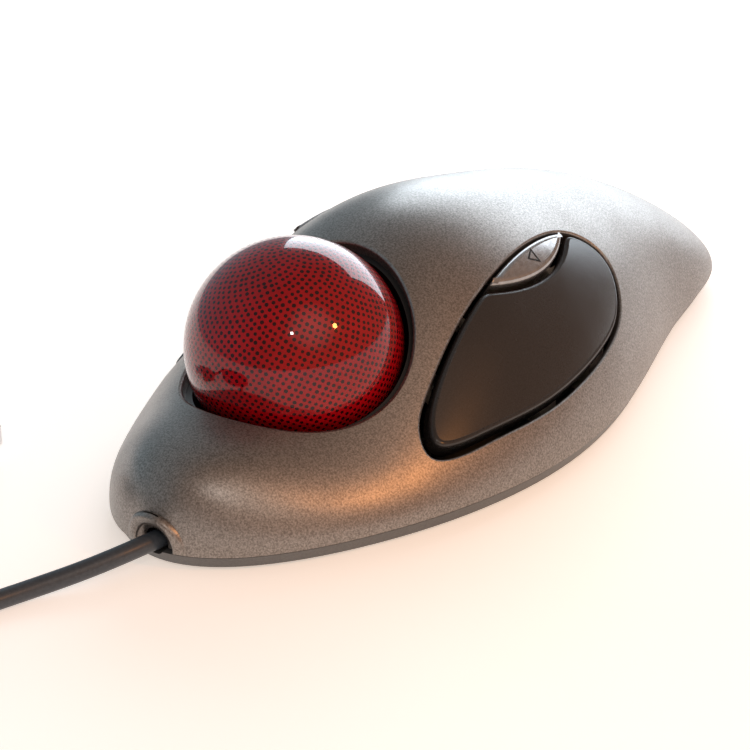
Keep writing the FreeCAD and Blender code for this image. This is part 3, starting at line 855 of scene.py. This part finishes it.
def make_world():
    """Cool light from the -X side, warm light from the +X side and one soft glow."""
    world = bpy.data.worlds.new("world")
    bpy.context.scene.world = world
    world.use_nodes = True
    tree = world.node_tree
    coords = tree.nodes.new("ShaderNodeTexCoord")
    split = tree.nodes.new("ShaderNodeSeparateXYZ")
    tree.links.new(coords.outputs["Generated"], split.inputs["Vector"])
    place = tree.nodes.new("ShaderNodeMapRange")
    place.inputs["From Min"].default_value = -1
    tree.links.new(split.outputs["X"], place.inputs["Value"])
    sides = ramp(tree, place.outputs["Result"], WORLD_SIDES)
    toward = tree.nodes.new("ShaderNodeVectorMath")
    toward.operation = "DOT_PRODUCT"
    toward.inputs[1].default_value = Vector(GLOW_SIDE).normalized()
    tree.links.new(coords.outputs["Generated"], toward.inputs[0])
    glow = ramp(tree, toward.outputs["Value"], [(GLOW_EDGE, (0, 0, 0)), (1.0, GLOW_COLOUR)])
    both = tree.nodes.new("ShaderNodeMix")
    both.data_type = "RGBA"
    both.blend_type = "ADD"
    both.inputs["Factor"].default_value = 1
    tree.links.new(sides, both.inputs["A"])
    tree.links.new(glow, both.inputs["B"])
    tree.links.new(both.outputs["Result"], tree.nodes["Background"].inputs["Color"])
    tree.nodes["Background"].inputs["Strength"].default_value = WORLD_STRENGTH


FLOOR_HALF = 3.0
# The floor glows so that it reads white; near the body its glow colour carries a painted warm shadow.
FLOOR_GLOW = 0.55
PAINTED_SHADOW_CENTRE = (0.075, -0.03, 0)      # middle of the painted warm shadow on the floor


def make_stage():
    mesh = bpy.data.meshes.new("floor")
    corners = [(-FLOOR_HALF, -FLOOR_HALF, 0), (FLOOR_HALF, -FLOOR_HALF, 0),
               (FLOOR_HALF, FLOOR_HALF, 0), (-FLOOR_HALF, FLOOR_HALF, 0)]
    mesh.from_pydata(corners, [], [(0, 1, 2, 3)])
    material, tree, shader = new_material("floor_white")
    shade = ramp(tree, noise(tree, 3.0), [(0.3, (0.90, 0.895, 0.89)), (0.7, (0.93, 0.925, 0.92))])
    tree.links.new(shade, shader.inputs["Base Color"])
    coords = tree.nodes.new("ShaderNodeTexCoord")
    offset = tree.nodes.new("ShaderNodeVectorMath")
    offset.operation = "DISTANCE"
    offset.inputs[1].default_value = PAINTED_SHADOW_CENTRE
    tree.links.new(coords.outputs["Object"], offset.inputs[0])
    # Painted warm shadow: the floor's glow colour is orange beside the body and fades to white further out.
    warm = ramp(tree, offset.outputs["Value"], [(0.02, (1.0, 0.80, 0.64)), (0.16, (1.0, 0.93, 0.88)),
                                                (0.34, (1.0, 0.985, 0.97))])
    tree.links.new(warm, shader.inputs["Emission Color"])
    shader.inputs["Emission Strength"].default_value = FLOOR_GLOW
    shader.inputs["Roughness"].default_value = 0.6
    mesh.materials.append(material)
    floor = bpy.data.objects.new("floor", mesh)
    bpy.context.scene.collection.objects.link(floor)
    make_world()
    area_light("window_behind", (-0.28, 0.95, 0.36), (0, 0, 0.02), 0.95, 9.5, (0.80, 0.91, 1.0), 0.7)
    area_light("lamp_front", (0.44, -0.60, 0.57), (0, -0.04, 0.02), 0.045, 0.4, (1.0, 0.97, 0.93))
    area_light("lamp_warm", (0.70, 0.0, 0.48), (0, -0.03, 0.02), 0.07, 1.0, (1.0, 0.38, 0.10))
    bpy.context.scene.view_settings.view_transform = "Standard"


# ---- assembly -------------------------------------------------------------------------------
looks = make_materials()
make_camera()
make_cable(looks)
dress_nodes(looks)
make_top_shell(looks)
make_buttons(looks)
make_ball(looks)
make_stage()
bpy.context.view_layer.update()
